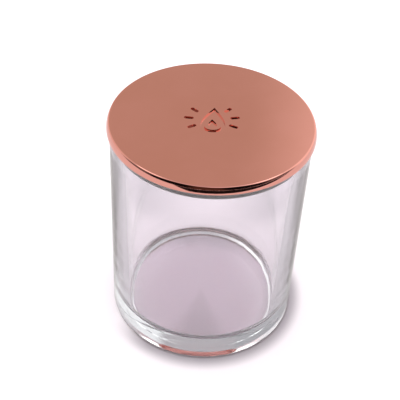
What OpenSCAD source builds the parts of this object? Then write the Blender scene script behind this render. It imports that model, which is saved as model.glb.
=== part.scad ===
// Empty candle jar: a heavy-based glass tumbler closed by a flat die-cast metal lid, whose plug
// carries a finned silicone seal ring. The origin is the centre of the circle that the glass
// stands on, and +Z is up. All sizes are in millimetres.

/* [Glass] */
// Outer diameter of the glass
glass_d = 80; // [72:0.5:92]
// Height of the glass from the table to its rim
glass_h = 93.2; // [82:0.1:108]
// Thickness of the side wall at the rim
wall_t = 5.4; // [4.8:0.1:6]
// Height of the straight part of the bore that the seal sits in
land_h = 9; // [8:0.5:12]
// How much the bore's radius shrinks from there down to the floor
bore_taper = 1; // [0.4:0.1:1.6]
// Height of the inside floor above the table
floor_h = 6.3; // [5:0.1:9]
// Radius of the bend between the inside wall and the floor
inner_bend_r = 5.5; // [3:0.1:7]
// Radius of the outer corner at the foot
foot_corner_r = 0.5; // [0.4:0.1:1]
// Radius of the two edges of the fire-polished rim
rim_edge_r = 0.9; // [0.4:0.1:1.2]
// Height of the shallow hollow under the base
punt_h = 0.85; // [0.6:0.05:1.1]
// Width of the flat ring that the glass stands on
foot_ring_w = 1.2; // [0.8:0.1:2]
// Width of the slope between that ring and the flat middle of the hollow
punt_slope_w = 3.4; // [2.6:0.1:4.5]

/* [Lid] */
// How far the lid's disc reaches past the side of the glass
lid_overhang = 1.05; // [0.5:0.05:2]
// Thickness of the disc at its edge
disc_t = 3.2; // [2.6:0.1:3.8]
// Radius of the disc's top edge
top_edge_r = 0.7; // [0.4:0.1:1]
// Radius of the crowned side, seen in section
side_crown_r = 5.4; // [4.5:0.1:12]
// Radius of the disc's lower edge
lower_edge_r = 0.3; // [0.2:0.05:0.5]
// Thickness of the disc inside the plug ring
web_t = 2.5; // [2:0.1:3]
// Thickness of the plug ring behind the seal
plug_wall_t = 2.6; // [2:0.1:4]
// Height of the lip that keeps the seal on the plug
lip_h = 0.7; // [0.6:0.1:1.2]
// How far the lip stands out of the groove
lip_out = 0.65; // [0.4:0.05:0.8]

/* [Seal] */
// Height of the seal ring
seal_h = 5.4; // [4.6:0.1:6]
// Thickness of the seal ring between its fins
seal_web_t = 1.1; // [0.8:0.05:1.2]
// Number of fins round the seal
seal_fins = 3; // [2:1:4]
// Radius of a fin's rounded tip
fin_tip_r = 0.35; // [0.25:0.05:0.4]
// Clearance between the fins and the glass
seal_glass_gap = 0.08; // [0.05:0.01:0.15]
// Running clearance between the seal and the plug
seal_plug_gap = 0.05; // [0.03:0.01:0.08]
// Clearance above and below the seal in its groove
seal_end_gap = 0.1; // [0.05:0.01:0.2]

/* [Mark] */
// Depth of the mark sunk into the lid
mark_depth = 0.8; // [0.3:0.1:1]
// Height of the flame
flame_h = 16; // [10:0.5:20]
// Width of the flame
flame_w = 9.6; // [6:0.2:12]
// Width of the flame's sunk outline
flame_line_w = 1.5; // [1:0.1:2]
// How far the flame's tip leans to one side
flame_lean = 1.4; // [0:0.1:2]
// Number of rays on each side of the flame
rays_per_side = 3; // [1:1:4]
// Width of a ray
ray_w = 1.5; // [1:0.1:2]
// Distance from the flame's middle to a ray's inner end
ray_start = 7.2; // [6.5:0.1:8]
// Distance from the flame's middle to a ray's outer end
ray_end = 11; // [9.5:0.1:13]
// How far the mark is turned on the lid
mark_turn = 5; // [0:1:45]

/* [Hidden] */
$fn = 128;
eps = 0.01;

glass_r = glass_d / 2;
bore_r = glass_r - wall_t;
bore_foot_r = bore_r - bore_taper;
bore_draft = atan(bore_taper / (glass_h - land_h - floor_h));
foot_ring_inner_r = glass_r - foot_corner_r - foot_ring_w;
punt_flat_r = foot_ring_inner_r - punt_slope_w;

lid_r = glass_r + lid_overhang;
seal_fin_r = bore_r - seal_glass_gap;
seal_bore_r = seal_fin_r - fin_tip_r - seal_web_t;
groove_r = seal_bore_r - seal_plug_gap;
groove_h = seal_h + 2 * seal_end_gap;
plug_h = groove_h + lip_h;
recess_r = groove_r - plug_wall_t;
recess_draft = 0.3;
lip_chamfer = lip_out * 0.45;

flame_points = 56;      // points round one flame outline
flame_sharpness = 1.3;  // 0 gives an ellipse, more gives a longer tip
tip_share = 2.1;        // how much more the sunk line takes along the flame than across it
core_w_share = 0.5;     // width of the inner flame, as a share of the space inside the line
core_h_share = 0.54;    // height of the inner flame, as a share of the same
ray_first_angle = 46;   // from the flame's tip to the middle of the first ray
ray_last_angle = 118;

// What is left outside a round of radius r in the corner at the origin, on the side of +x and +y.
module corner_waste(r) {
    difference() {
        translate([-eps, -eps]) square(r + eps);
        translate([r, r]) circle(r);
    }
}

// Cuts a convex corner at [x, y] to radius r. dir_x and dir_y point from the corner into the body.
module round_corner(x, y, dir_x, dir_y, r) {
    translate([x, y]) scale_sign(dir_x, dir_y) corner_waste(r);
}

// Turns a shape over wherever a direction is negative.
module scale_sign(dir_x, dir_y) {
    mirror([dir_x < 0 ? 1 : 0, 0]) mirror([0, dir_y < 0 ? 1 : 0]) children();
}

// --- glass ---------------------------------------------------------------------------------

// Half section of the solid glass: a cylinder with a rounded foot and the outer rim edge rounded.
module glass_outside() {
    difference() {
        square([glass_r, glass_h]);
        round_corner(glass_r, 0, -1, 1, foot_corner_r);
        round_corner(glass_r, glass_h, -1, -1, rim_edge_r);
    }
}

// Half section of the hollow: a straight land at the top, a bore with a little draft, a round
// bend that touches bore and floor, and a flat floor.
module glass_hollow() {
    bend_y = floor_h + inner_bend_r;
    bend_x = bore_foot_r + inner_bend_r * (tan(bore_draft) - 1 / cos(bore_draft));
    touch = [bend_x, bend_y] + inner_bend_r * [cos(bore_draft), -sin(bore_draft)];
    polygon([[0, floor_h], [bend_x, floor_h], touch, [bore_r, glass_h - land_h],
             [bore_r, 2 * glass_h], [0, 2 * glass_h]]);
    translate([bend_x, bend_y]) circle(inner_bend_r);
    rim_flare();
}

// The rounded inner edge of the rim, taken off the top of the wall.
module rim_flare() {
    round_corner(bore_r, glass_h, 1, -1, rim_edge_r);
}

// Half section of the shallow hollow under the base: a slope up to a wide flat middle.
module glass_punt() {
    polygon([[-eps, -eps], [foot_ring_inner_r, -eps], [foot_ring_inner_r, 0],
             [punt_flat_r, punt_h], [-eps, punt_h]]);
}

// The glass tumbler.
module glass_jar() {
    color([0.86, 0.83, 0.87, 0.35])
    rotate_extrude()
    intersection() {
        square([glass_r, glass_h]);
        difference() {
            glass_outside();
            glass_hollow();
            glass_punt();
        }
    }
}

// --- lid -----------------------------------------------------------------------------------

// Half section of the disc, with y measured up from the rim of the glass. Its side bulges a
// little: a tight round at the top runs into the wide round of the side, and a small one ends it.
module disc_section() {
    crown_x = lid_r - side_crown_r;
    edge_y = disc_t - top_edge_r;
    reach = side_crown_r - top_edge_r;
    meet_angle = asin((edge_y - lower_edge_r) / reach);
    edge_x = crown_x + reach * cos(meet_angle);
    ray_to_meet = 2 * side_crown_r * [cos(meet_angle), sin(meet_angle)];

    square([edge_x, disc_t]);
    translate([edge_x, edge_y]) circle(top_edge_r);
    translate([crown_x, lower_edge_r]) intersection() {
        circle(side_crown_r);
        polygon([[0, 0], [2 * side_crown_r, 0], ray_to_meet]);
    }
    square([lid_r - lower_edge_r, lower_edge_r]);
    translate([lid_r - lower_edge_r, lower_edge_r]) circle(lower_edge_r);
}

// Half section of the lid, with y measured up from the rim of the glass.
module lid_section() {
    difference() {
        union() {
            disc_section();
            translate([0, -plug_h]) square([groove_r, plug_h + eps]);
            lip_section();
        }
        recess_section();
    }
}

// The lip at the end of the plug, chamfered so that the seal can be pushed over it.
module lip_section() {
    lip_r = groove_r + lip_out;
    polygon([[recess_r + plug_wall_t / 2, -plug_h], [lip_r - lip_chamfer, -plug_h],
             [lip_r, lip_chamfer - plug_h], [lip_r, lip_h - plug_h],
             [recess_r + plug_wall_t / 2, lip_h - plug_h]]);
}

// The recess inside the plug ring, which widens a little towards its mouth.
module recess_section() {
    ceiling = disc_t - web_t;
    polygon([[-eps, -plug_h - eps], [recess_r + recess_draft, -plug_h - eps],
             [recess_r, ceiling], [-eps, ceiling]]);
}

// Points of a flame of width w and height h, its foot at y = 0 and its tip leaning to +x.
function flame_outline(w, h, lean) =
    let (
        angles = [for (i = [0 : flame_points - 1]) 360 * i / flame_points],
        bulge = function (a) sin(a) * pow(sin(a / 2), flame_sharpness),
        widest = max([for (a = angles) bulge(a)])
    )
    [for (a = angles)
        let (up = (1 + cos(a)) / 2)
        [w / 2 * bulge(a) / widest + lean * up * up, h * up]];

// The flame: a sunk outline with a smaller sunk flame standing in it.
module flame() {
    inner_w = flame_w - 2 * flame_line_w;
    inner_h = flame_h - tip_share * 2 * flame_line_w;
    translate([0, -flame_h / 2]) {
        difference() {
            polygon(flame_outline(flame_w, flame_h, flame_lean));
            translate([0, flame_line_w])
            polygon(flame_outline(inner_w, inner_h, flame_lean * inner_h / flame_h));
        }
        translate([0, 2 * flame_line_w])
        polygon(flame_outline(inner_w * core_w_share, inner_h * core_h_share, 0));
    }
}

// One ray: a bar with round ends, lying along +y.
module ray() {
    half = ray_w / 2;
    translate([-half, ray_start + half]) square([ray_w, ray_end - ray_start - ray_w]);
    for (y = [ray_start + half, ray_end - half]) translate([0, y]) circle(half);
}

// The sunk mark: the flame with its rays on both sides.
module mark() {
    step = (ray_last_angle - ray_first_angle) / max(rays_per_side - 1, 1);
    flame();
    for (side = [-1, 1], i = [0 : rays_per_side - 1])
        rotate(side * (ray_first_angle + i * step)) ray();
}

// The die-cast lid.
module lid() {
    color([0.78, 0.50, 0.43])
    translate([0, 0, glass_h])
    difference() {
        rotate_extrude() lid_section();
        translate([0, 0, disc_t - mark_depth])
        rotate(mark_turn)
        linear_extrude(mark_depth + 1) mark();
    }
}

// --- seal ----------------------------------------------------------------------------------

// Half section of the seal ring, with y measured up from its lower end.
module seal_section() {
    fin_x = seal_fin_r - fin_tip_r;
    end_y = fin_tip_r;
    step = (seal_h - 2 * end_y) / (seal_fins - 1);
    translate([seal_bore_r, 0]) square([seal_web_t - fin_tip_r, seal_h]);
    for (i = [0 : seal_fins - 1]) translate([0, end_y + i * step]) {
        translate([seal_bore_r, -fin_tip_r])
        square([fin_x - seal_bore_r, 2 * fin_tip_r]);
        translate([fin_x, 0]) circle(fin_tip_r);
    }
}

// The silicone seal ring, in the plug's groove.
module seal_ring() {
    color([0.62, 0.61, 0.61])
    translate([0, 0, glass_h - seal_end_gap - seal_h])
    rotate_extrude() seal_section();
}

glass_jar();
lid();
seal_ring();
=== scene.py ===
"""Looks of the empty candle jar: pressed glass, a plated die-cast lid and its silicone seal."""

import math

import bmesh
import bpy
from mathutils import Matrix, Vector


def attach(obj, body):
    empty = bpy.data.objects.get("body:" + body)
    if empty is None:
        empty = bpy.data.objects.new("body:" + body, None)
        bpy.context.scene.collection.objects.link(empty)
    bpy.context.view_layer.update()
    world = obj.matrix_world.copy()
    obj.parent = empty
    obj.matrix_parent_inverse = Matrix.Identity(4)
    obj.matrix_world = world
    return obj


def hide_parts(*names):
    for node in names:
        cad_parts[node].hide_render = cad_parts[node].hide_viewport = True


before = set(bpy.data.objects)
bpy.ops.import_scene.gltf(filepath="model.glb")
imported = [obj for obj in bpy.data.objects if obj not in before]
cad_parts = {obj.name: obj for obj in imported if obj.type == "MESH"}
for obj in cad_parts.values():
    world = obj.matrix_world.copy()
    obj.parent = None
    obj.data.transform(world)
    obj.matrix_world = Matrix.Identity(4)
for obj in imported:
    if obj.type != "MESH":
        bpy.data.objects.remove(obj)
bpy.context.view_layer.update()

MM = 0.001
DEGREES = 180 / math.pi
SEED = 7

# Sizes of the pieces in millimetres, as the solids have them.
GLASS_R, GLASS_H, BORE_R, BORE_FOOT_R, LAND_H = 40.0, 93.2, 34.6, 33.6, 9.0
FLOOR_H, BEND_R, RIM_R, FOOT_R = 6.3, 5.5, 0.9, 0.5
RING_INNER_R, RING_EDGE_R = 38.3, 0.3
PUNT_R, PUNT_H, PUNT_EDGE_R = 34.9, 0.85, 0.5
LID_R, DISC_T, TOP_R, CROWN_R, LOWER_R = 41.05, 3.2, 0.7, 5.4, 0.3
GROOVE_R, LIP_R, LIP_H, LIP_CHAMFER, PLUG_H = 33.02, 33.67, 0.7, 0.2925, 6.3
GROOVE_EDGE_R = 0.12
RECESS_R, RECESS_MOUTH_R, RECESS_EDGE_R, WEB_T = 30.42, 30.72, 0.6, 2.5
SEAL_BORE_R, SEAL_WEB_R, FIN_R, FIN_TIP_R = 33.07, 33.82, 34.52, 0.35
SEAL_LOW, SEAL_H, SEAL_FINS, SEAL_ROOT_R = 87.7, 5.4, 3, 0.1
MARK_DEPTH, MARK_TURN, CUTTER_H = 0.8, 5.0, 2.0
FLAME_H, FLAME_W, FLAME_LINE, FLAME_LEAN, FLAME_SHARP = 16.0, 9.6, 1.5, 1.4, 1.3
RAYS_PER_SIDE, RAY_W, RAY_START, RAY_END = 3, 1.5, 7.2, 11.0
RAY_FIRST, RAY_LAST = 46.0, 118.0

# Details that the solids leave out, in millimetres: the faint step round the middle of the floor,
# the soft bend where the drafted bore meets its straight land, and the waves of pressed glass.
PAD_R, PAD_STEP_W, PAD_STEP_H, PAD_EDGE_R = 20.2, 0.6, 0.05, 0.4
LAND_BLEND_R = 30.0
WAVE_H, WAVE_FADE_LOW, WAVE_FADE_HIGH, BEND_WAVE = 0.12, 12, 8, 0.3
WELD, SMALLER = 2e-6, 1e-4      # welding distance in metres; what keeps two roundings apart
LID_BROKEN_EDGE, SEAL_BROKEN_EDGE, SHARP_ANGLE = 0.1, 0.06, 40.0
FLAME_POINTS, RAY_POINTS = 96, 32


# --- node trees ------------------------------------------------------------------------------

class Wire:
    """A socket of a node tree. Arithmetic on it adds Math nodes."""

    def __init__(self, tree, socket=None):
        self.tree, self.socket = tree, socket

    def node(self, kind, settings=None, sockets=None, out=0):
        """Adds a node. Its settings come first, then the values or links of its sockets."""
        made = self.tree.nodes.new(kind)
        for name, value in (settings or {}).items():
            if name == "stops":
                self.set_stops(made.color_ramp, value)
            else:
                setattr(made, name, value)
        for key, value in (sockets or {}).items():
            target = self.find(made.inputs, key)
            if isinstance(value, Wire):
                self.tree.links.new(value.socket, target)
            else:
                target.default_value = value
        return Wire(self.tree, self.find(made.outputs, out) if len(made.outputs) else None)

    @staticmethod
    def set_stops(ramp, stops):
        while len(ramp.elements) < len(stops):
            ramp.elements.new(0.5)
        for element, (position, colour) in zip(ramp.elements, stops):
            element.position, element.color = position, colour

    @staticmethod
    def find(sockets, key):
        """A socket by its place, its identifier or its name."""
        if isinstance(key, int):
            return sockets[key]
        return next((s for s in sockets if s.identifier == key), None) or sockets[key]

    def side(self, key):
        """Another output of the same node."""
        return Wire(self.tree, self.find(self.socket.node.outputs, key))

    def math(self, operation, *values):
        return self.node("ShaderNodeMath", {"operation": operation}, dict(enumerate(values)))

    def vector(self, operation, *values, out=0):
        return self.node("ShaderNodeVectorMath", {"operation": operation},
                         dict(enumerate(values)), out)

    def __add__(self, other): return self.math("ADD", self, other)
    def __radd__(self, other): return self.math("ADD", other, self)
    def __sub__(self, other): return self.math("SUBTRACT", self, other)
    def __rsub__(self, other): return self.math("SUBTRACT", other, self)
    def __mul__(self, other): return self.math("MULTIPLY", self, other)
    def __rmul__(self, other): return self.math("MULTIPLY", other, self)
    def __truediv__(self, other): return self.math("DIVIDE", self, other)
    def __rtruediv__(self, other): return self.math("DIVIDE", other, self)
    def __pow__(self, other): return self.math("POWER", self, other)

    def sin(self): return self.math("SINE", self)
    def cos(self): return self.math("COSINE", self)
    def floor(self): return self.math("FLOOR", self)
    def above(self, value): return self.math("MAXIMUM", self, value)

    def ramp(self, low, high, to_low=0.0, to_high=1.0):
        """Goes smoothly from to_low to to_high as the value goes from low to high."""
        return self.node("ShaderNodeMapRange", {"interpolation_type": "SMOOTHSTEP"},
                         {"Value": self, "From Min": low, "From Max": high,
                          "To Min": to_low, "To Max": to_high})

    def noise(self, scale, detail=2.0, roughness=0.5):
        """Noise at this vector, about 0 to 1."""
        return self.node("ShaderNodeTexNoise", {},
                         {"Vector": self, "Scale": scale, "Detail": detail,
                          "Roughness": roughness}, "Fac")

    def stretch(self, factors):
        return self.vector("MULTIPLY", self, factors)

    def parts(self):
        """The x, y and z of a vector."""
        x = self.node("ShaderNodeSeparateXYZ", {}, {0: self})
        return x, x.side("Y"), x.side("Z")

    def joined(self, x, y, z):
        return self.node("ShaderNodeCombineXYZ", {}, {0: x, 1: y, 2: z})

    def mix(self, first, second):
        """Colour between first and second, by this factor."""
        return self.node("ShaderNodeMix", {"data_type": "RGBA"},
                         {"Factor_Float": self, "A_Color": first, "B_Color": second},
                         "Result_Color")


def rgb(*values):
    return (*values, 1.0)


# --- shapes ----------------------------------------------------------------------------------

def rounded(corners, step, arc_step=9.0):
    """Line through corners (r, z, round radius). Straight runs are cut to at most step long."""
    line = []
    for i, (r, z, radius) in enumerate(corners):
        here = Vector((r, z))
        if not radius:
            line.append(here)
            continue
        back = (Vector(corners[i - 1][:2]) - here).normalized()
        ahead = (Vector(corners[i + 1][:2]) - here).normalized()
        half = back.angle(ahead) / 2
        centre = here + (back + ahead).normalized() * radius / math.sin(half)
        start = here + back * radius / math.tan(half) - centre
        end = here + ahead * radius / math.tan(half) - centre
        turn = start.angle_signed(end)
        pieces = max(3, math.ceil(math.degrees(abs(turn)) / arc_step))
        for k in range(pieces + 1):
            line.append(centre + Matrix.Rotation(-turn * k / pieces, 2) @ start)
    cut = [line[0]]
    for a, b in zip(line, line[1:]):
        length = (b - a).length
        if length < 1e-5:
            continue
        pieces = math.ceil(length / step)
        cut += [a.lerp(b, k / pieces) for k in range(1, pieces + 1)]
    return cut


def profile_object(name, line, waves=None):
    """A mesh line of the half section, in metres, with x as the radius and z as the height."""
    mesh = bpy.data.meshes.new(name)
    points = [(p.x * MM, 0.0, p.y * MM) for p in line]
    mesh.from_pydata(points, [(i, i + 1) for i in range(len(points) - 1)], [])
    for key in ("wave", "round_wave"):
        layer = mesh.attributes.new(key, "FLOAT", "POINT")
        values = [waves(p, key) if waves else 0.0 for p in line]
        layer.data.foreach_set("value", values)
    made = bpy.data.objects.new(name, mesh)
    bpy.context.scene.collection.objects.link(made)
    return made


def tree_with(name, inputs):
    """A geometry tree with named inputs. Returns it with the wires of its inputs."""
    tree = bpy.data.node_groups.new(name, "GeometryNodeTree")
    face = tree.interface
    face.new_socket("Geometry", in_out="OUTPUT", socket_type="NodeSocketGeometry")
    face.new_socket("Geometry", in_out="INPUT", socket_type="NodeSocketGeometry")
    for label, kind in inputs.items():
        face.new_socket(label, in_out="INPUT", socket_type="NodeSocket" + kind)
    start = Wire(tree).node("NodeGroupInput")
    return tree, {label: start.side(label) for label in ("Geometry", *inputs)}


def close_tree(geometry, material):
    """Ends a geometry tree: instances made real, then the material."""
    real = geometry.node("GeometryNodeRealizeInstances", {}, {"Geometry": geometry})
    done = real.node("GeometryNodeSetMaterial", {}, {"Geometry": real, "Material": material})
    done.node("NodeGroupOutput", {}, {0: done})


def evaluated(source, name, tree=None, values=None):
    """A plain mesh object made of source, with the tree's result if one is given."""
    if tree:
        modifier = source.modifiers.new(tree.name, "NODES")
        modifier.node_group = tree
        for item in tree.interface.items_tree:
            if item.in_out == "INPUT" and item.name in (values or {}):
                modifier[item.identifier] = values[item.name]
    bpy.context.view_layer.update()
    seen = source.evaluated_get(bpy.context.evaluated_depsgraph_get())
    mesh = bpy.data.meshes.new_from_object(seen)
    mesh.name = name
    bpy.data.objects.remove(source)
    made = bpy.data.objects.new(name, mesh)
    bpy.context.scene.collection.objects.link(made)
    return made


def lathe_tree():
    """Turns the half section round the z axis, with shallow waves where the section asks."""
    tree, given = tree_with("lathe", {"Segments": "Int", "Wave height": "Float",
                                      "Seed": "Float", "Material": "Material"})
    section, segments = given["Geometry"], given["Segments"]
    count = section.node("GeometryNodeAttributeDomainSize", {"component": "MESH"},
                         {"Geometry": section}, "Point Count")
    around = segments + 1
    grid = section.node("GeometryNodeMeshGrid", {},
                        {"Size X": 1.0, "Size Y": 1.0, "Vertices X": count,
                         "Vertices Y": around}, "Mesh")
    index = section.node("GeometryNodeInputIndex")
    along = (index / around).floor()
    angle = (index - along * around) * math.tau / segments

    def at_section(kind, value):
        return section.node("GeometryNodeSampleIndex", {"data_type": kind, "domain": "POINT"},
                            {"Geometry": section, "Value": value, "Index": along})

    def attribute(name):
        return section.node("GeometryNodeInputNamedAttribute", {"data_type": "FLOAT"},
                            {"Name": name})

    position = section.node("GeometryNodeInputPosition")
    radius, _, height = at_section("FLOAT_VECTOR", position).parts()
    x, y = angle.cos(), angle.sin()
    place = x.joined(x * radius, y * radius, height)
    shifted = place.vector("ADD", place, x.joined(given["Seed"], 0.0, 0.0))
    long_wave = shifted.stretch((1.0, 1.0, 0.22)).noise(42.0, detail=2.0, roughness=0.45) - 0.5
    round_wave = shifted.stretch((1.0, 1.0, 1.6)).noise(60.0, detail=1.0, roughness=0.4) - 0.5
    push = (at_section("FLOAT", attribute("wave")) * long_wave
            + at_section("FLOAT", attribute("round_wave")) * round_wave) * given["Wave height"]
    wavy_radius = radius + push
    turned = grid.node("GeometryNodeSetPosition", {},
                       {"Geometry": grid,
                        "Position": x.joined(x * wavy_radius, y * wavy_radius, height)})
    welded = turned.node("GeometryNodeMergeByDistance", {},
                         {"Geometry": turned, "Distance": WELD})
    smooth = welded.node("GeometryNodeSetShadeSmooth", {}, {"Geometry": welded})
    close_tree(smooth, given["Material"])
    return tree


def turned_piece(name, line, material, segments=256, wave_height=0.0, waves=None):
    """A body of revolution about the z axis, closed and facing outwards."""
    section = profile_object(name + "_section", line, waves)
    made = evaluated(section, name, LATHE,
                     {"Segments": segments, "Wave height": wave_height, "Seed": float(SEED),
                      "Material": material})
    tidy_mesh(made)
    return made


def tidy_mesh(piece, cap=False):
    """Welds the seam, closes flat ends and turns the faces outwards."""
    edit = bmesh.new()
    edit.from_mesh(piece.data)
    bmesh.ops.remove_doubles(edit, verts=edit.verts, dist=WELD)
    bmesh.ops.dissolve_degenerate(edit, edges=edit.edges, dist=WELD / 20)
    if cap:
        open_edges = [e for e in edit.edges if e.is_boundary]
        bmesh.ops.holes_fill(edit, edges=open_edges, sides=0)
    bmesh.ops.recalc_face_normals(edit, faces=edit.faces)
    for face in edit.faces:
        face.smooth = True
    edit.to_mesh(piece.data)
    edit.free()


def keep_flats(piece, sharp_angle=None, edge_width=0.0):
    """Rounds the sharp edges a little and keeps flat faces flat in the shading."""
    if edge_width:
        bevel = piece.modifiers.new("broken edges", "BEVEL")
        bevel.width, bevel.segments = edge_width, 2
        bevel.limit_method, bevel.angle_limit = "ANGLE", math.radians(sharp_angle)
        bevel.use_clamp_overlap = True
    weigh = piece.modifiers.new("flat faces stay flat", "WEIGHTED_NORMAL")
    weigh.mode, weigh.weight, weigh.keep_sharp = "FACE_AREA", 90, False


# --- materials -------------------------------------------------------------------------------

def new_material(name, **uniform):
    """A Principled material. Returns it with its shader, output and a wire to start from."""
    material = bpy.data.materials.new(name)
    material.use_nodes = True
    tree = material.node_tree
    tree.nodes.clear()
    start = Wire(tree)
    shader = start.node("ShaderNodeBsdfPrincipled", {}, uniform)
    output = start.node("ShaderNodeOutputMaterial", {}, {"Surface": shader})
    return material, shader, tree.nodes[-1], start


def feed(wire, shader, socket):
    """Links a varying value to one of the shader's sockets."""
    wire.tree.links.new(wire.socket, shader.socket.node.inputs[socket])


def bumped(height, strength, distance):
    return height.node("ShaderNodeBump", {}, {"Strength": strength, "Distance": distance,
                                              "Height": height}, "Normal")


def clear_glass():
    material, shader, output, start = new_material("clear pressed glass", **{
        "Base Color": rgb(0.985, 0.98, 0.985), "IOR": 1.51, "Transmission Weight": 1.0})
    place = start.node("ShaderNodeTexCoord", {}, {}, "Object")
    haze = place.noise(90.0, detail=3.0, roughness=0.6)
    feed(haze.ramp(0.5, 0.75, to_high=0.035), shader, "Roughness")
    drawn = place.stretch((1.0, 1.0, 0.12)).noise(160.0, detail=2.0, roughness=0.5)
    feed(bumped(drawn, strength=0.06, distance=0.4 * MM), shader, "Normal")
    absorb = start.node("ShaderNodeVolumeAbsorption", {},
                        {"Color": rgb(0.82, 0.84, 0.84), "Density": 22.0})
    material.node_tree.links.new(absorb.socket, output.inputs["Volume"])
    return material


def rose_gold_plate():
    material, shader, _, start = new_material("rose gold plate", Metallic=1.0)
    place = start.node("ShaderNodeTexCoord", {}, {}, "Object")
    cloud = place.noise(45.0, detail=3.0, roughness=0.55)
    feed(cloud.ramp(0.3, 0.7).mix(rgb(0.69, 0.32, 0.262), rgb(0.71, 0.332, 0.278)),
         shader, "Base Color")
    grain = place.noise(1500.0, detail=2.0, roughness=0.6)
    feed(cloud.ramp(0.25, 0.75, to_low=0.05, to_high=0.11) + (grain - 0.5) * 0.03,
         shader, "Roughness")
    feed(bumped(grain, strength=0.02, distance=0.05 * MM), shader, "Normal")
    return material


def grey_silicone():
    material, shader, _, start = new_material("grey silicone", **{"Specular IOR Level": 0.45})
    place = start.node("ShaderNodeTexCoord", {}, {}, "Object")
    cloud = place.noise(120.0, detail=3.0, roughness=0.6)
    feed(cloud.ramp(0.3, 0.7).mix(rgb(0.28, 0.27, 0.27), rgb(0.33, 0.32, 0.32)),
         shader, "Base Color")
    feed(cloud.ramp(0.3, 0.7, to_low=0.4, to_high=0.52), shader, "Roughness")
    grain = place.noise(2500.0, detail=2.0, roughness=0.6)
    feed(bumped(grain, strength=0.1, distance=0.03 * MM), shader, "Normal")
    return material


# --- the pieces ------------------------------------------------------------------------------

LATHE = lathe_tree()


def make_glass():
    def waves(point, key):
        """How far a point of the section waves: the bore in long waves, the bend in round ones."""
        inside = BORE_FOOT_R - 0.5 < point.x < BORE_R + 0.5
        fade_low = min(max((point.y - FLOOR_H - BEND_R) / WAVE_FADE_LOW, 0), 1)
        fade_high = min(max((GLASS_H - LAND_H - point.y) / WAVE_FADE_HIGH, 0), 1)
        if key == "wave" and inside:
            return fade_low * fade_high
        if key == "round_wave" and FLOOR_H < point.y < FLOOR_H + BEND_R and point.x > 20:
            return BEND_WAVE
        return 0.0

    outer_floor = FLOOR_H + PAD_STEP_H
    line = rounded([
        (0, FLOOR_H, 0), (PAD_R, FLOOR_H, PAD_EDGE_R),
        (PAD_R + PAD_STEP_W, outer_floor, PAD_EDGE_R), (BORE_FOOT_R, outer_floor, BEND_R),
        (BORE_R, GLASS_H - LAND_H, LAND_BLEND_R), (BORE_R, GLASS_H, RIM_R),
        (GLASS_R, GLASS_H, RIM_R), (GLASS_R, 0, FOOT_R), (RING_INNER_R, 0, RING_EDGE_R),
        (PUNT_R, PUNT_H, PUNT_EDGE_R), (0, PUNT_H, 0)],
        step=3.0, arc_step=6.0)
    glass = turned_piece("pressed_glass_jar", line, clear_glass(),
                         wave_height=WAVE_H * MM, waves=waves)
    keep_flats(glass)
    return glass


def lid_line():
    """Half section of the lid, from the flat of its top to the flat of its recess."""
    low, top = GLASS_H, GLASS_H + DISC_T
    lean = math.asin((DISC_T - TOP_R - LOWER_R) / (CROWN_R - TOP_R))
    meet_r = LID_R - CROWN_R * (1 - math.cos(lean))
    meet_z = low + LOWER_R + CROWN_R * math.sin(lean)
    top_corner = meet_r - (top - meet_z) * math.tan(lean)
    side_corner = meet_z - (LID_R - meet_r) / math.tan(lean)
    end = low - PLUG_H
    ceiling = top - WEB_T
    line = rounded([
        (30, top, 0), (top_corner, top, TOP_R), (LID_R, side_corner, CROWN_R - SMALLER),
        (LID_R, low, LOWER_R - SMALLER), (GROOVE_R, low, GROOVE_EDGE_R),
        (GROOVE_R, end + LIP_H, GROOVE_EDGE_R),
        (LIP_R, end + LIP_H, 0), (LIP_R, end + LIP_CHAMFER, 0), (LIP_R - LIP_CHAMFER, end, 0),
        (RECESS_MOUTH_R, end, 0), (RECESS_R, ceiling, RECESS_EDGE_R), (20, ceiling, 0)],
        step=50.0, arc_step=4.0)
    return line[1:-1]


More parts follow.
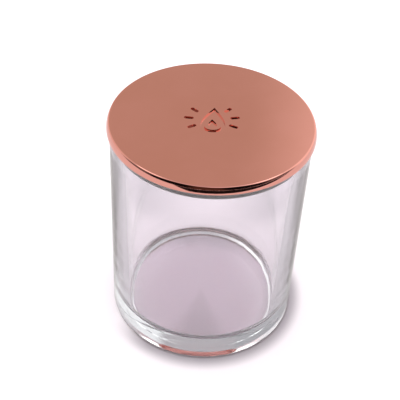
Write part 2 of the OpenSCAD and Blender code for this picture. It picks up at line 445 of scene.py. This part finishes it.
def mark_tree():
    """The cutter of the sunk mark: a flame with rays, standing across the lid's top face."""
    tree, given = tree_with("mark", {
        "Height": "Float", "Width": "Float", "Line": "Float", "Lean": "Float",
        "Sharpness": "Float", "Ray width": "Float", "Ray start": "Float", "Ray end": "Float",
        "Rays per side": "Int", "First ray": "Float", "Last ray": "Float", "Turn": "Float",
        "Depth": "Float", "Ground": "Float", "Material": "Material"})
    tall, wide, line = given["Height"], given["Width"], given["Line"]
    start = Wire(tree)

    def flame(width, height, lean, raised):
        """One outline, its foot raised above the foot of the whole mark."""
        ring = start.node("GeometryNodeCurvePrimitiveCircle", {"mode": "RADIUS"},
                          {"Resolution": FLAME_POINTS, "Radius": 1.0}, "Curve")
        angle = ring.node("GeometryNodeInputIndex") * (math.tau / FLAME_POINTS)
        bulge = angle.sin() * (angle * 0.5).sin() ** given["Sharpness"]
        up = (angle.cos() + 1.0) * 0.5
        x = bulge * width * 0.5 / FLAME_WIDEST + lean * up * up
        y = height * up + raised - tall * 0.5
        return ring.node("GeometryNodeSetPosition", {},
                         {"Geometry": ring, "Position": x.joined(x, y, 0.0)})

    # The outer outline, its inner side, and the core that stands inside.
    inner_w = wide - line * 2.0
    inner_h = tall - line * 4.2
    outlines = [flame(wide, tall, given["Lean"], 0.0),
                flame(inner_w, inner_h, given["Lean"] * inner_h / tall, line),
                flame(inner_w * 0.5, inner_h * 0.54, 0.0, line * 2.0)]
    join = start.node("GeometryNodeJoinGeometry")
    for outline in outlines:
        tree.links.new(outline.socket, join.socket.node.inputs[0])
    flames = join.node("GeometryNodeFillCurve", {"mode": "NGONS"}, {"Curve": join})

    # A ray: a bar with round ends, from two half circles joined by its sides.
    ring = start.node("GeometryNodeCurvePrimitiveCircle", {"mode": "RADIUS"},
                      {"Resolution": RAY_POINTS, "Radius": 1.0}, "Curve")
    step = ring.node("GeometryNodeInputIndex")
    ray_angle = (step + 0.5) * (math.tau / RAY_POINTS)
    half = given["Ray width"] * 0.5
    upper = ray_angle.sin().ramp(-0.001, 0.001)
    ends = (given["Ray start"] + half) * (1.0 - upper) + (given["Ray end"] - half) * upper
    bar = ring.node("GeometryNodeSetPosition", {},
                    {"Geometry": ring, "Position": half.joined(ray_angle.cos() * half,
                                                               ray_angle.sin() * half + ends,
                                                               0.0)})
    ray = bar.node("GeometryNodeFillCurve", {"mode": "NGONS"}, {"Curve": bar})
    per_side = given["Rays per side"]
    points = start.node("GeometryNodePoints", {}, {"Count": per_side * 2.0})
    number = points.node("GeometryNodeInputIndex")
    right = (number / per_side).floor()
    side = right * 2.0 - 1.0
    place = number - right * per_side
    fan = (given["Last ray"] - given["First ray"]) / (per_side - 1.0)
    angle = side * (given["First ray"] + place * fan)
    rays = points.node("GeometryNodeInstanceOnPoints", {},
                       {"Points": points, "Instance": ray,
                        "Rotation": angle.joined(0.0, 0.0, angle)})
    rays = rays.node("GeometryNodeRealizeInstances", {}, {"Geometry": rays})
    flat = start.node("GeometryNodeJoinGeometry")
    for part in (flames, rays):
        tree.links.new(part.socket, flat.socket.node.inputs[0])
    lowered = flat.node("GeometryNodeTransform", {},
                        {"Geometry": flat,
                         "Translation": flat.joined(0.0, 0.0, given["Ground"]),
                         "Rotation": flat.joined(0.0, 0.0, given["Turn"])})
    sides = lowered.node("GeometryNodeExtrudeMesh", {"mode": "FACES"},
                         {"Mesh": lowered, "Offset": lowered.joined(0.0, 0.0, given["Depth"]),
                          "Offset Scale": 1.0, "Individual": False}, "Mesh")
    bottom = lowered.node("GeometryNodeFlipFaces", {}, {"Mesh": lowered})
    whole = start.node("GeometryNodeJoinGeometry")
    for part in (sides, bottom):
        tree.links.new(part.socket, whole.socket.node.inputs[0])
    welded = whole.node("GeometryNodeMergeByDistance", {},
                        {"Geometry": whole, "Distance": WELD / 2})
    close_tree(welded, given["Material"])
    return tree


# The widest place of the flame's outline, which the flame's width is measured at.
FLAME_STEPS = 56
FLAME_WIDEST = max(math.sin(math.tau * i / FLAME_STEPS)
                   * math.sin(math.pi * i / FLAME_STEPS) ** FLAME_SHARP
                   for i in range(FLAME_STEPS))


def make_mark_cutter(material):
    seed_mesh = bpy.data.objects.new("mark_seed", bpy.data.meshes.new("mark_seed"))
    bpy.context.scene.collection.objects.link(seed_mesh)
    cutter = evaluated(seed_mesh, "mark_cutter", mark_tree(), {
        "Height": FLAME_H * MM, "Width": FLAME_W * MM, "Line": FLAME_LINE * MM,
        "Lean": FLAME_LEAN * MM, "Sharpness": FLAME_SHARP, "Ray width": RAY_W * MM,
        "Ray start": RAY_START * MM, "Ray end": RAY_END * MM, "Rays per side": RAYS_PER_SIDE,
        "First ray": math.radians(RAY_FIRST), "Last ray": math.radians(RAY_LAST),
        "Turn": math.radians(MARK_TURN), "Depth": CUTTER_H * MM,
        "Ground": (GLASS_H + DISC_T - MARK_DEPTH) * MM, "Material": material})
    tidy_mesh(cutter)
    return cutter


def make_lid():
    plate = rose_gold_plate()
    lid = turned_piece("plated_lid", lid_line(), plate)
    tidy_mesh(lid, cap=True)
    cutter = make_mark_cutter(plate)
    cut = lid.modifiers.new("mark", "BOOLEAN")
    cut.operation, cut.solver, cut.object = "DIFFERENCE", "EXACT", cutter
    lid = evaluated(lid, "plated_lid")
    bpy.data.objects.remove(cutter)
    tidy_mesh(lid)
    keep_flats(lid, SHARP_ANGLE, LID_BROKEN_EDGE * MM)
    return lid


def make_seal():
    pitch = (SEAL_H - 2 * FIN_TIP_R) / (SEAL_FINS - 1)
    corners = [(SEAL_BORE_R, SEAL_LOW, 0)]
    for i in range(SEAL_FINS):
        middle = SEAL_LOW + FIN_TIP_R + i * pitch
        if i:
            corners.append((SEAL_WEB_R, middle - FIN_TIP_R, SEAL_ROOT_R))
        corners += [(FIN_R, middle - FIN_TIP_R, FIN_TIP_R - SMALLER),
                    (FIN_R, middle + FIN_TIP_R, FIN_TIP_R - SMALLER)]
        if i < SEAL_FINS - 1:
            corners.append((SEAL_WEB_R, middle + FIN_TIP_R, SEAL_ROOT_R))
    corners += [(SEAL_BORE_R, SEAL_LOW + SEAL_H, 0), (SEAL_BORE_R, SEAL_LOW, 0)]
    seal = turned_piece("silicone_seal", rounded(corners, step=50.0, arc_step=15.0),
                        grey_silicone(), segments=192)
    keep_flats(seal, SHARP_ANGLE, SEAL_BROKEN_EDGE * MM)
    return seal


for make, node, body, finish in (
        (make_glass, "glass_jar", "jar", "clear_glass"),
        (make_lid, "lid", "lid", "rose_gold_plate"),
        (make_seal, "seal_ring", "seal", "grey_silicone")):
    piece = make()
    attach(piece, body)
    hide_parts(node)


# --- studio ----------------------------------------------------------------------------------

# The table's colours, by how it is met: plainly, in a painted shade and a painted contact shadow
# round the foot, and painted darker in the plated lid; then painted grey where the glass walls
# mirror it; then in painted shade tones through the glass.
TABLE_WHITE, TABLE_SHADE = rgb(0.95, 0.88, 0.92), rgb(0.45, 0.405, 0.44)
TABLE_CONTACT_SHADOW, TABLE_DARKER_IN_PLATE = rgb(0.3, 0.255, 0.28), rgb(0.52, 0.5, 0.47)
# The table as the glass walls mirror it: painted grey, with a painted dark streak.
TABLE_SHADE_IN_WALLS, TABLE_DARK_STREAK_IN_WALLS = rgb(0.5, 0.46, 0.5), rgb(0.27, 0.25, 0.27)
# The table seen through the glass, in painted shade tones.
UNDER_JAR_SHADE, UNDER_FRONT_SHADE = rgb(0.76, 0.675, 0.74), rgb(0.5, 0.455, 0.49)
UNDER_BACK_SHADE, UNDER_FOOT_SHADE = rgb(0.58, 0.53, 0.575), rgb(0.28, 0.22, 0.22)
BEHIND_JAR_SHADE, BESIDE_JAR_SHADE = rgb(0.73, 0.66, 0.71), rgb(0.55, 0.5, 0.545)

# What is round the table: the back wall and its lit part, both again in the cooler tone that the
# glass sees, the high part of the back, the sides, the dark room in front, and the softboxes.
WALL, WALL_LIT = rgb(0.69, 0.6, 0.52), rgb(1.4, 1.33, 1.29)
WALL_COOL, WALL_COOL_LIT = rgb(0.58, 0.56, 0.6), rgb(1.3, 1.28, 1.31)
HIGH_BACK, SIDE = rgb(0.66, 0.6, 0.64), rgb(0.22, 0.2, 0.2)
ROOM_SIDE, ROOM_FRONT = rgb(0.010, 0.007, 0.008), rgb(0.10, 0.05, 0.035)
SOFTBOX, SEEN_PLAINLY = rgb(3.0, 3.0, 3.0), rgb(1.1, 1.1, 1.1)

# Light on the table from the right and from the left, and the same for the table under the jar.
TABLE_LIGHT = rgb(1.35, 1.35, 1.35), rgb(1.65, 1.65, 1.65)
INNER_LIGHT = rgb(3.3, 3.1, 3.3), rgb(4.1, 3.85, 4.1)
LIGHT_FROM = 50.0                   # degrees to the left of straight behind

FLOOR_REACH, SHEET_EDGE, SHEET_LIFT = 4.0, -0.205, 0.001
SHEET_DARK, SHEET_STRENGTH = rgb(1, 0.8, 0.8), 0.012

CAMERA_PLACE, CAMERA_LENS, SENSOR_WIDTH = (0, -0.27276, 0.29622), 78.09, 36.0
CAMERA_HEADING, CAMERA_TILT, CAMERA_ROLL = 0.6146, 48.45, 3.266     # degrees
GLASS_BOUNCES, PLATE_BOUNCES = 24, 12


def stage_mesh(name, points, material, **hidden):
    """A floor or card of one face. It isn't part of the object."""
    mesh = bpy.data.meshes.new(name)
    mesh.from_pydata(points, [], [tuple(range(len(points)))])
    mesh.materials.append(material)
    made = bpy.data.objects.new(name, mesh)
    bpy.context.scene.collection.objects.link(made)
    for kind, shown in hidden.items():
        setattr(made, "visible_" + kind, shown)


def dark_sheet_material():
    """Nearly black: painted darkness for the dim room in front, seen in the lid's reflections.
    Only mirrored light meets it, so it never shows straight through the glass.
    """
    material = bpy.data.materials.new("dark sheet seen in reflections")
    material.use_nodes = True
    tree = material.node_tree
    tree.nodes.clear()
    start = Wire(tree)
    mirrored = start.node("ShaderNodeLightPath", {}, {}, "Glossy Depth").ramp(0.0, 1.0)
    clear = start.node("ShaderNodeBsdfTransparent")
    dark = start.node("ShaderNodeEmission", {}, {"Color": SHEET_DARK, "Strength": SHEET_STRENGTH})
    sheet = start.node("ShaderNodeMixShader", {}, {0: mirrored, 1: clear, 2: dark})
    start.node("ShaderNodeOutputMaterial", {}, {"Surface": sheet})
    return material


def floor_material():
    """White table with a painted soft shade and a painted contact shadow round the foot. What the
    glass shows of it is painted greyer, and the lid sees it painted darker.
    """
    material, shader, _, start = new_material("pale studio floor", **{
        "Roughness": 0.8, "Specular IOR Level": 0.1})
    depth = start.node("ShaderNodeLightPath", {}, {}, "Transmission Depth")
    x, y, _ = start.node("ShaderNodeTexCoord", {}, {}, "Object").parts()
    radius = (x * x + y * y) ** 0.5 / MM
    beside = x.math("ABSOLUTE", x)
    from_back = beside.math("ARCTAN2", beside, y) * DEGREES
    turn = x.math("ARCTAN2", x, y * -1.0) * DEGREES         # 0 in front, 90 on the right

    # Mirrored in the glass walls: painted grey, with a painted dark streak at the sides.
    streak = from_back.ramp(36.0, 50.0) * from_back.ramp(55.0, 70.0, 1.0, 0.0)
    mirrored = streak.mix(TABLE_SHADE_IN_WALLS, TABLE_DARK_STREAK_IN_WALLS)

    # Seen through the glass: painted shade tones past the jar, then under its floor, then a
    # painted dark arc under its foot.
    past_jar = radius.ramp(35.0, 37.0)
    far_side = beside.ramp(0.0, 0.05) * y.ramp(0.04, 0.055)
    behind = far_side.mix(past_jar.mix(UNDER_JAR_SHADE, BEHIND_JAR_SHADE), BESIDE_JAR_SHADE)
    wedge = turn.math("ABSOLUTE", turn).ramp(8.0, 34.0, 1.0, 0.35)
    behind = (y.ramp(-0.034, 0.016, 1.0, 0.0) * wedge).mix(behind, UNDER_FRONT_SHADE)
    back_edge = y.ramp(0.020, 0.034) * (1.0 - past_jar)
    behind = back_edge.mix(behind, UNDER_BACK_SHADE)
    foot = (radius.ramp(34.0, 35.5) * radius.ramp(GLASS_R, GLASS_R + 1.5, 1.0, 0.0)
            * from_back.ramp(48.0, 66.0, 1.0, 0.0))
    behind = foot.mix(behind, UNDER_FOOT_SHADE)
    through = depth.ramp(2.5, 3.5).mix(mirrored, behind)

    # Seen plainly: a painted shade and a painted contact shadow round the foot, to the front and
    # the right.
    shaded = turn.ramp(-62.0, -30.0) * turn.ramp(100.0, 140.0, 1.0, 0.0)
    shade = radius.ramp(GLASS_R + 0.4, GLASS_R + 7.6).mix(TABLE_SHADE, TABLE_WHITE)
    # The painted contact shadow, darkest right at the foot.
    shade = radius.ramp(GLASS_R, GLASS_R + 0.9, 1.0, 0.0).mix(shade, TABLE_CONTACT_SHADOW)
    plain = shaded.mix(TABLE_WHITE, shade)

    seen = depth.ramp(0.5, 1.5).mix(plain, through)
    # Seen in the plated lid: the table painted darker, a painted reflection tone.
    in_plate = depth.side("Glossy Depth").ramp(0.5, 1.5) * depth.ramp(0.5, 1.5, 1.0, 0.0)
    feed(in_plate.mix(seen, TABLE_DARKER_IN_PLATE), shader, "Base Color")
    return material


def build_world():
    """Light by direction. Reflections see the walls, the softboxes and the dark room behind the
    camera. The glass sees the walls in a cooler tone, the table is lit mostly from the left, and
    the camera itself sees plain white."""
    world = bpy.data.worlds.new("studio")
    bpy.context.scene.world = world
    world.use_nodes = True
    world.cycles.sampling_method = "NONE"
    tree = world.node_tree
    tree.nodes.clear()
    start = Wire(tree)
    x, y, z = start.node("ShaderNodeTexCoord", {}, {}, "Generated").parts()
    azimuth = x.math("ARCTAN2", x, y) * DEGREES             # 0 is behind the object
    elevation = z.math("ARCSINE", z) * DEGREES
    off_axis = azimuth.math("ABSOLUTE", azimuth)
    plainly = start.node("ShaderNodeLightPath", {}, {}, "Is Camera Ray")
    depth = plainly.side("Transmission Depth")

    window = azimuth.ramp(2.0, 15.0)
    bright = window + azimuth.ramp(-40.0, -4.0, 0.5, 0.0)
    glow = depth.ramp(0.0, 1.0).mix(bright.mix(WALL, WALL_LIT),
                                    window.mix(WALL_COOL, WALL_COOL_LIT))
    high_back = elevation.ramp(45.0, 49.0) * off_axis.ramp(20.0, 30.0, 1.0, 0.0)
    glow = high_back.mix(glow, HIGH_BACK)
    side = off_axis.ramp(78.0, 96.0) * elevation.ramp(30.0, 50.0, 1.0, 0.0)
    glow = side.mix(glow, SIDE)
    opening = off_axis.ramp(112.0, 128.0) * elevation.ramp(62.0, 76.0, 1.0, 0.0)
    glow = opening.mix(glow, off_axis.ramp(158.0, 170.0).mix(ROOM_SIDE, ROOM_FRONT))
    softbox = (off_axis.ramp(27.0, 33.0) * off_axis.ramp(68.0, 76.0, 1.0, 0.0)
               * elevation.ramp(54.0, 57.0) * elevation.ramp(66.0, 69.0, 1.0, 0.0))
    glow = softbox.mix(glow, SOFTBOX)

    from_left = ((azimuth + LIGHT_FROM) / DEGREES).cos() * 0.5 + 0.5
    through_glass = depth.ramp(4.5, 5.5)
    on_table = plainly.side("Diffuse Depth").above(0.0)
    glow = on_table.mix(glow, through_glass.mix(from_left.mix(*TABLE_LIGHT),
                                                from_left.mix(*INNER_LIGHT)))
    glow = plainly.mix(glow, SEEN_PLAINLY)
    light = start.node("ShaderNodeBackground", {}, {"Color": glow, "Strength": 1.0})
    start.node("ShaderNodeOutputWorld", {}, {"Surface": light})


def place_camera():
    camera = bpy.data.objects.new("camera", bpy.data.cameras.new("camera"))
    camera.data.lens, camera.data.sensor_width = CAMERA_LENS, SENSOR_WIDTH
    camera.data.clip_start = 0.01
    camera.matrix_world = (Matrix.Translation(CAMERA_PLACE)
                           @ Matrix.Rotation(math.radians(CAMERA_HEADING), 4, "Z")
                           @ Matrix.Rotation(math.radians(CAMERA_TILT), 4, "X")
                           @ Matrix.Rotation(math.radians(CAMERA_ROLL), 4, "Z"))
    bpy.context.scene.collection.objects.link(camera)
    bpy.context.scene.camera = camera


stage_mesh("studio_floor", [(-FLOOR_REACH, -FLOOR_REACH, 0), (FLOOR_REACH, -FLOOR_REACH, 0),
                            (FLOOR_REACH, FLOOR_REACH, 0), (-FLOOR_REACH, FLOOR_REACH, 0)],
           floor_material())

# A dark sheet past the table's front edge: painted darkness that only reflections see.
stage_mesh("dark_sheet_seen_in_reflections", [(-1.6, -2.5, SHEET_LIFT), (2, -2.5, SHEET_LIFT),
                                (2, SHEET_EDGE, SHEET_LIFT), (-0.06, SHEET_EDGE, SHEET_LIFT)],
           dark_sheet_material(), camera=False, diffuse=False, shadow=False)
build_world()
place_camera()

scene = bpy.context.scene
scene.view_settings.view_transform = "Standard"
scene.cycles.max_bounces = scene.cycles.transmission_bounces = GLASS_BOUNCES
scene.cycles.glossy_bounces = PLATE_BOUNCES
